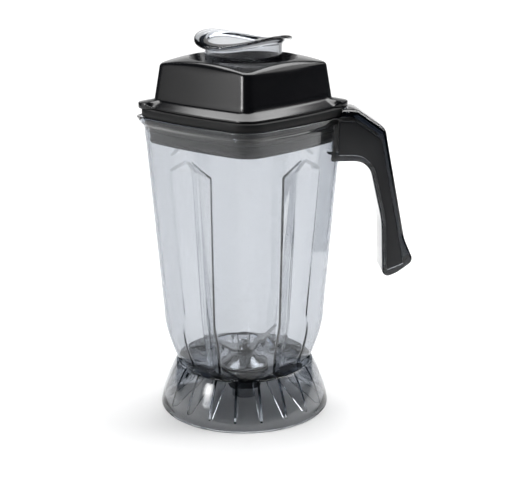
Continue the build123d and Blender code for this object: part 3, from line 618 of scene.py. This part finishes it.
for height, inset in ((panel["rimCutBottom"], 0), (beadBottom, 0), (beadMiddle, -jar["rimOverhang"]),
                      (jar["rimHeight"], -jar["rimOverhang"])):
    rimRows.append((squareRadius(coarse, *jarSection(height, inset)), height))
rimRows.append((0, jar["rimHeight"]))
joinSolids(jarBody, [handleSolid, ribs], "UNION")
smoothShade(jarBody.data, jar["sharpAngle"])
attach(jarBody, "jar")
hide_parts("jar_body", "jar_skirt", "jar_handle")
print("jar body:", len(jarBody.data.polygons), "faces")

for side, node in ((-1, "grip_panel_front"), (1, "grip_panel_back")):
    seat = halfWidth - panel["recess"]
    layers = []
    edgeDown, edgeIn = panel["edgeStart"]
    for depth, more in ((0.0, 0.0), (panel["thickness"] - panel["edge"], 0.0),
                        (panel["thickness"] - edgeDown, edgeIn), (panel["thickness"], panel["edge"])):
        inset = panel["gap"] + more
        layers.append((side * (seat + depth), panelOutline(inset, panel["start"] + inset)))
    name = "gripPanelFront" if side < 0 else "gripPanelBack"
    gripPanel = linkObject(name, layerMesh(name, layers), gripMaterial)
    rimBlock = linkObject("cut", ringMesh("cut", rimRows, coarse, closed=False), gripMaterial)
    joinSolids(gripPanel, [rimBlock], "DIFFERENCE")
    smoothShade(gripPanel.data)
    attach(gripPanel, "jar")
    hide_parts(node)
print("grip panels made")


# lid: flange with ears, sloped band, crowned block with a round recess, hollow plug

# the flange's edges are steps of (inwards, up), those of the recess of (outwards, up)
lid = {
    "flangeBottom": 257.5, "edge": 2.0, "band": 5.0,
    "flangeCorner": 79.0, "flangeFlat": 63.5, "flangeRound": 14.0,
    "lowerEdge": [(0.7, 0.0), (0.15, 0.2), (0.0, 0.7)], "upperEdge": [(0.0, -0.6), (0.2, -0.15), (0.7, 0.1)],
    "footCorner": 72.2, "footFlat": 55.6, "footRound": 8.0, "footRise": 0.6,
    "shoulderCorner": 65.6, "shoulderFlat": 50.4, "shoulderRound": 7.0,
    "top": 302.0, "crown": 260.0, "crownDrop": 8.0, "crownRounds": 12, "wall": 2.6,
    "earReach": 85.4, "earRound": 11.0, "earThickness": 4.6, "earBlend": 2.5, "earRun": 2.0,
    "plugBottom": 231.5, "plugInset": 7.2, "plugWall": 2.6,
    "cornerRounding": 2.4, "sideRounding": 10.0, "inwardRounding": 4.4, "roundingSteps": 8,
    "recessRadius": 44.0, "recessLip": 1.2, "recessEdge": [(0.3, -0.1), (-0.4, -0.9)],
    "recessFloorRadius": 38.0, "recessFloor": 284.0, "recessFoot": [(0.6, 1.2), (-0.4, 0.2), (-1.4, 0.0)],
    "holeRadius": 29.35, "holeEdge": 0.5, "collarWall": 2.4, "collarBottom": 273.6, "columns": 256,
    "bandShares": [0.25, 0.5, 0.75, 0.93], "wallShares": [0.2, 0.4, 0.6, 0.8],
    "crownShares": [0.3, 0.6, 0.85, 1.0],
}
lidAngles = np.linspace(0, 2 * pi, lid["columns"], endpoint=False)


def lidWall(height, inset):
    bottom = lid["flangeBottom"] + lid["edge"] + lid["band"]
    share = np.asarray((height - bottom) / (lid["top"] - bottom), float)
    low, high = [squareRadius(lidAngles, *[lid[end + part] - inset for part in ("Corner", "Flat", "Round")])
                 for end in ("foot", "shoulder")]
    return mix(low, high, share)


def crownHeight(radius):
    return lid["top"] - lid["crown"] + np.sqrt(lid["crown"] ** 2 - radius ** 2)


def plugRadius(height, inset):
    return squareRadius(lidAngles, *jarSection(height, inset))


flange = squareRadius(lidAngles, lid["flangeCorner"], lid["flangeFlat"], lid["flangeRound"])
ear = np.maximum(tabRadius(lidAngles, 0, lid["earReach"] - lid["earRound"], lid["earRound"]),
                 tabRadius(lidAngles, pi, lid["earReach"] - lid["earRound"], lid["earRound"]))
flangeEdge = np.where(ear > 0, softMax(flange, ear, lid["earBlend"]), flange)
earShare = np.clip((flangeEdge - flange) / lid["earRun"], 0, 1)
edgeTop = lid["flangeBottom"] + mix(lid["edge"], lid["earThickness"], earShare)
bandTop = lid["flangeBottom"] + lid["edge"] + lid["band"]
lidRows = [(plugRadius(lid["flangeBottom"], lid["plugInset"]), lid["flangeBottom"])]
lidRows += [(flangeEdge - inwards, lid["flangeBottom"] + up) for inwards, up in lid["lowerEdge"]]
lidRows += [(flangeEdge - inwards, edgeTop + up) for inwards, up in lid["upperEdge"]]
bandEdge, bandBottom = lidRows[-1]
foot = lidWall(bandTop, 0)
for share in lid["bandShares"]:
    lidRows.append((mix(bandEdge, foot, share), mix(bandBottom, bandTop, share)))
lidRows.append((lidWall(bandTop + lid["footRise"], 0), bandTop + lid["footRise"]))
meetHeight = np.full(lid["columns"], lid["top"] - lid["crownDrop"])
for step in range(lid["crownRounds"]):  # closes in on where the wall meets the crown
    meetHeight = crownHeight(lidWall(meetHeight, 0))
meet = lidWall(meetHeight, 0)
lidRounding = mix(lid["cornerRounding"], lid["sideRounding"], np.sin(2 * lidAngles) ** 2)
wallEnd = meetHeight - lidRounding
crownStart = meet - np.minimum(lidRounding, lid["inwardRounding"])
for share in lid["wallShares"]:
    level = mix(bandTop, wallEnd, share)
    lidRows.append((lidWall(level, 0), level))
for step in range(lid["roundingSteps"] + 1):  # a curve with the sharp edge as its middle point
    share = step / lid["roundingSteps"]
    first, middle, last = (1 - share) ** 2, 2 * share * (1 - share), share ** 2
    lidRows.append((first * lidWall(wallEnd, 0) + middle * meet + last * crownStart,
                    first * wallEnd + middle * meetHeight + last * crownHeight(crownStart)))
for share in lid["crownShares"]:
    radius = mix(crownStart, lid["recessRadius"] + lid["recessLip"], share)
    lidRows.append((radius, crownHeight(radius)))
recessTop = float(crownHeight(lid["recessRadius"]))
lidRows += [(lid["recessRadius"] + outwards, recessTop + up) for outwards, up in lid["recessEdge"]]
for outwards, up in lid["recessFoot"]:
    lidRows.append((lid["recessFloorRadius"] + outwards, lid["recessFloor"] + up))
collarRadius = lid["holeRadius"] + lid["collarWall"]
underFloor = lid["recessFloor"] - lid["wall"]
cavityTop = lid["recessFloor"] + lid["wall"]
plugHollow = lid["plugInset"] + lid["plugWall"]
lidRows += [(lid["holeRadius"] + lid["holeEdge"], lid["recessFloor"]),
            (lid["holeRadius"], lid["recessFloor"] - lid["holeEdge"]),
            (lid["holeRadius"], lid["collarBottom"]), (collarRadius, lid["collarBottom"]),
            (collarRadius, underFloor),
            (lid["recessFloorRadius"] + lid["wall"], underFloor),
            (lid["recessFloorRadius"] + 2 * lid["wall"], cavityTop),
            (lidWall(cavityTop, lid["wall"]), cavityTop), (lidWall(bandTop, lid["wall"]), bandTop),
            (plugRadius(lid["flangeBottom"], plugHollow), lid["flangeBottom"]),
            (plugRadius(lid["plugBottom"], plugHollow), lid["plugBottom"]),
            (plugRadius(lid["plugBottom"], lid["plugInset"]), lid["plugBottom"])]
lidBody = linkObject("lidBody", ringMesh("lidBody", lidRows, lidAngles, closed=True), lidMaterial)
smoothShade(lidBody.data)
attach(lidBody, "lid")
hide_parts("lid_body")
print("lid:", len(lidBody.data.polygons), "faces")

gasket = {
    "bottom": 230.0, "inset": 3.55, "fin": 1.3, "finHeight": 2.2, "finBack": 0.5, "finCount": 3,
    "flangeInset": -1.0, "thickness": 3.6, "rounding": 0.8, "roundingStep": 0.25,
}
gasketRows = []
pitch = (jar["rimHeight"] - gasket["bottom"]) / gasket["finCount"]
finTop = gasket["finHeight"] + gasket["finBack"]
finShape = [(0, gasket["fin"]), (gasket["finHeight"], 0), (finTop, gasket["fin"])]
for fin in range(gasket["finCount"]):
    start = gasket["bottom"] + pitch * fin
    for rise, inset in finShape:
        gasketRows.append((plugRadius(start + rise, gasket["inset"] + inset), start + rise))
outer = plugRadius(jar["rimHeight"], gasket["flangeInset"])
rounding, roundingStep = gasket["rounding"], gasket["roundingStep"]
gasketRows += [(plugRadius(jar["rimHeight"], gasket["inset"] + gasket["fin"]), jar["rimHeight"]),
               (outer - rounding, jar["rimHeight"]), (outer - roundingStep, jar["rimHeight"] + roundingStep),
               (outer, jar["rimHeight"] + rounding), (outer, lid["flangeBottom"] - rounding),
               (outer - roundingStep, lid["flangeBottom"] - roundingStep),
               (outer - rounding, lid["flangeBottom"])]
sleeve = gasket["inset"] + gasket["thickness"]
gasketRows += [(plugRadius(lid["flangeBottom"], sleeve), lid["flangeBottom"]),
               (plugRadius(lid["plugBottom"], sleeve), lid["plugBottom"]),
               (plugRadius(lid["plugBottom"], plugHollow), lid["plugBottom"]),
               (plugRadius(lid["plugBottom"], plugHollow), gasket["bottom"])]
lidGasket = linkObject("lidGasket", ringMesh("lidGasket", gasketRows, lidAngles, closed=True), rubberMaterial)
smoothShade(lidGasket.data)
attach(lidGasket, "lid")
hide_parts("lid_gasket")
print("lid gasket made")


# filler cap: cup with a saddle-shaped flange that grows out of its wall

cap = {
    "bottom": 271.0, "bottomEdge": 0.8, "floor": 2.6, "floorRound": 1.5, "spigotRadius": 29.0,
    "seat": 284.0, "seatEdge": 0.3, "radius": 31.3, "wall": 2.4, "wallRings": [292.0, 299.0],
    "flangeRadius": 39.6, "flangeHeight": 313.4, "flangeThickness": 2.6,
    "saddle": 4.4, "saddleTurn": 135.0, "saddleMargin": 6.0,
    "flare": 4.5, "flareSteps": 6, "lipSteps": 6, "mouthRound": 2.2, "mouthSteps": 5, "columns": 192,
}
capAngles = np.linspace(0, 2 * pi, cap["columns"], endpoint=False)


def saddleLift(radius, share):
    turn = np.cos(2 * (capAngles - radians(cap["saddleTurn"])))
    return cap["saddle"] * (radius / cap["flangeRadius"]) ** 2 * turn * share


def capRow(radius, height):
    run = cap["flangeHeight"] - cap["seat"] - 2 * cap["saddleMargin"]
    share = min(1, max(0, (height - cap["seat"] - cap["saddleMargin"]) / run))
    return radius, height + saddleLift(radius, share)


capTop = cap["flangeHeight"]
capLow = cap["flangeHeight"] - cap["flangeThickness"]
flareLow = capLow - cap["flare"]
capPoints = [(0, cap["bottom"]), (cap["spigotRadius"] - cap["bottomEdge"], cap["bottom"]),
             (cap["spigotRadius"], cap["bottom"] + cap["bottomEdge"]), (cap["spigotRadius"], cap["seat"]),
             (cap["radius"] - cap["seatEdge"], cap["seat"]), (cap["radius"], cap["seat"] + cap["seatEdge"])]
capPoints += [(cap["radius"], height) for height in cap["wallRings"] + [flareLow]]
for step in range(1, cap["flareSteps"] + 1):
    angle = pi / 2 * step / cap["flareSteps"]
    radius = cap["radius"] + cap["flare"] * (1 - cos(angle))
    capPoints.append((radius, flareLow + cap["flare"] * sin(angle)))
lipHalf = cap["flangeThickness"] / 2
for step in range(cap["lipSteps"] + 1):
    angle = pi * step / cap["lipSteps"] - pi / 2
    radius = cap["flangeRadius"] - lipHalf + lipHalf * cos(angle)
    capPoints.append((radius, capLow + lipHalf + lipHalf * sin(angle)))
inner = cap["radius"] - cap["wall"]
mouthRound = cap["mouthRound"]
for step in range(cap["mouthSteps"] + 1):
    angle = pi / 2 * step / cap["mouthSteps"]
    capPoints.append((inner + mouthRound * (1 - sin(angle)), capTop - mouthRound + mouthRound * cos(angle)))
spigotInner = cap["spigotRadius"] - cap["wall"]
floorTop = cap["bottom"] + cap["floor"]
capPoints += [(inner, cap["wallRings"][-1]), (inner, cap["seat"] + cap["wall"]), (spigotInner, cap["seat"]),
              (spigotInner, floorTop + cap["floorRound"]), (spigotInner - cap["floorRound"], floorTop),
              (0, floorTop)]
capMesh = ringMesh("fillerCap", [capRow(*point) for point in capPoints], capAngles, closed=False)
fillerCap = linkObject("fillerCap", capMesh, smokeMaterial)
smoothShade(fillerCap.data)
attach(fillerCap, "cap")
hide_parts("filler_cap")
print("filler cap:", len(fillerCap.data.polygons), "faces")


# finishes of the nodes that stay as they are

finishes = {
    bladeMaterial: ["upper_blade", "lower_blade", "blade_nut", "blade_washer", "blade_spacer",
                    "bearing_housing"],
    steelMaterial: ["drive_shaft", "upper_bearing", "lower_bearing", "upper_race", "lower_race",
                    "bearing_spacer", "race_spacer", "circlip", "nut_washer", "drive_socket"],
    rubberMaterial: ["floor_gasket", "shaft_seal"],
    nylonMaterial: ["retaining_nut"],
}
for material, names in finishes.items():
    for name in names:
        nodes[name].data.materials.clear()
        nodes[name].data.materials.append(material)
print("node finishes set")


# floor, light and camera

stage = {"floorSize": 8.0, "paperColor": "#F2F2F2", "worldColor": "#30343A", "worldStrength": 1.0}
view = {
    "distance": 0.930, "height": 0.4157, "turn": 2.5, "pitch": 16.39, "yaw": 0.78,
    "focalPixels": 1147.8, "imageWidth": 518, "sensorMm": 36.0,
}
# a sheet with a fade glows from its strength in the middle to that share of it at its reach
sheets = {
    "backWall": {"place": (0.03, 1.15, 0.1), "aim": (0.03, 0, 0.1), "size": (1.15, 0.76), "strength": 1.15},
    "upperWall": {"place": (0, 1.17, 0.69), "aim": (0, 0, 0.69), "size": (1.9, 0.42), "strength": 0.55},
    "topSoftbox": {"place": (0.6, 0.4, 1.6), "aim": (0.6, 0.4, 0), "size": (3.0, 1.5), "strength": 5.2},
    "rightSheet": {"place": (2.25, 0.5, 1.25), "aim": (0, 0.5, 1.25), "size": (1.6, 0.62), "strength": 1.8},
    "leftSheet": {"place": (-1.6, -0.6, 0.55), "aim": (0, -0.6, 0.3), "size": (1.9, 1.1), "strength": 2.3,
                  "fade": 0.3, "reach": 0.8},
    "keySoftbox": {"place": (-1.2, -0.72, 0.52), "aim": (0, 0, 0.2), "size": (0.6, 0.6), "strength": 24.0,
                   "fade": 0.0, "reach": 0.28},
}

floorMaterial, tree = newMaterial("studioPaper")
paper = addNode(tree, "ShaderNodeBsdfDiffuse", {"Color": hexColor(stage["paperColor"])})
addNode(tree, "ShaderNodeOutputMaterial", None, {"Surface": paper.outputs["BSDF"]})


def sheetMesh(name, width, height):
    mesh = bpy.data.meshes.new(name)
    corners = [(-1, -1), (1, -1), (1, 1), (-1, 1)]
    mesh.from_pydata([(x * width / 2, y * height / 2, 0) for x, y in corners], [], [(0, 1, 2, 3)])
    return mesh


floor = linkObject("floor", sheetMesh("floor", stage["floorSize"], stage["floorSize"]), floorMaterial)
for name, values in sheets.items():
    glow, tree = newMaterial(name + "Glow")
    light = addNode(tree, "ShaderNodeEmission", {"Strength": values["strength"]})
    if "fade" in values:
        place = addNode(tree, "ShaderNodeTexCoord")
        offMiddle = addNode(tree, "ShaderNodeVectorMath", None, {0: place.outputs["Object"]},
                            operation="LENGTH")
        level = addNode(tree, "ShaderNodeMapRange",
                        {"From Min": 0.0, "From Max": values["reach"], "To Min": values["strength"],
                         "To Max": values["strength"] * values["fade"]},
                        {"Value": offMiddle.outputs["Value"]}, interpolation_type="SMOOTHSTEP")
        tree.links.new(level.outputs["Result"], light.inputs["Strength"])
    addNode(tree, "ShaderNodeOutputMaterial", None, {"Surface": light.outputs["Emission"]})
    sheet = linkObject(name, sheetMesh(name, *values["size"]), glow)
    toward = Vector(values["aim"]) - Vector(values["place"])
    sheet.rotation_euler = toward.to_track_quat("Z", "Y").to_euler()
    sheet.location = values["place"]

world = bpy.data.worlds.new("studio")
bpy.context.scene.world = world
world.use_nodes = True
world.node_tree.nodes.clear()
room = addNode(world.node_tree, "ShaderNodeBackground",
               {"Color": hexColor(stage["worldColor"]), "Strength": stage["worldStrength"]})
addNode(world.node_tree, "ShaderNodeOutputWorld", None, {"Surface": room.outputs["Background"]})

camera = bpy.data.cameras.new("photoCamera")
camera.sensor_fit = "HORIZONTAL"
camera.sensor_width = view["sensorMm"]
camera.lens = view["focalPixels"] / view["imageWidth"] * camera.sensor_width
cameraObject = bpy.data.objects.new("photoCamera", camera)
turn = radians(view["turn"])
cameraObject.location = (-view["distance"] * sin(turn), -view["distance"] * cos(turn), view["height"])
cameraObject.rotation_euler = (radians(90 - view["pitch"]), 0, -radians(view["yaw"]) - turn)
bpy.context.scene.collection.objects.link(cameraObject)
bpy.context.scene.camera = cameraObject
bpy.context.scene.view_settings.view_transform = "Standard"
print("stage, lights and camera set")
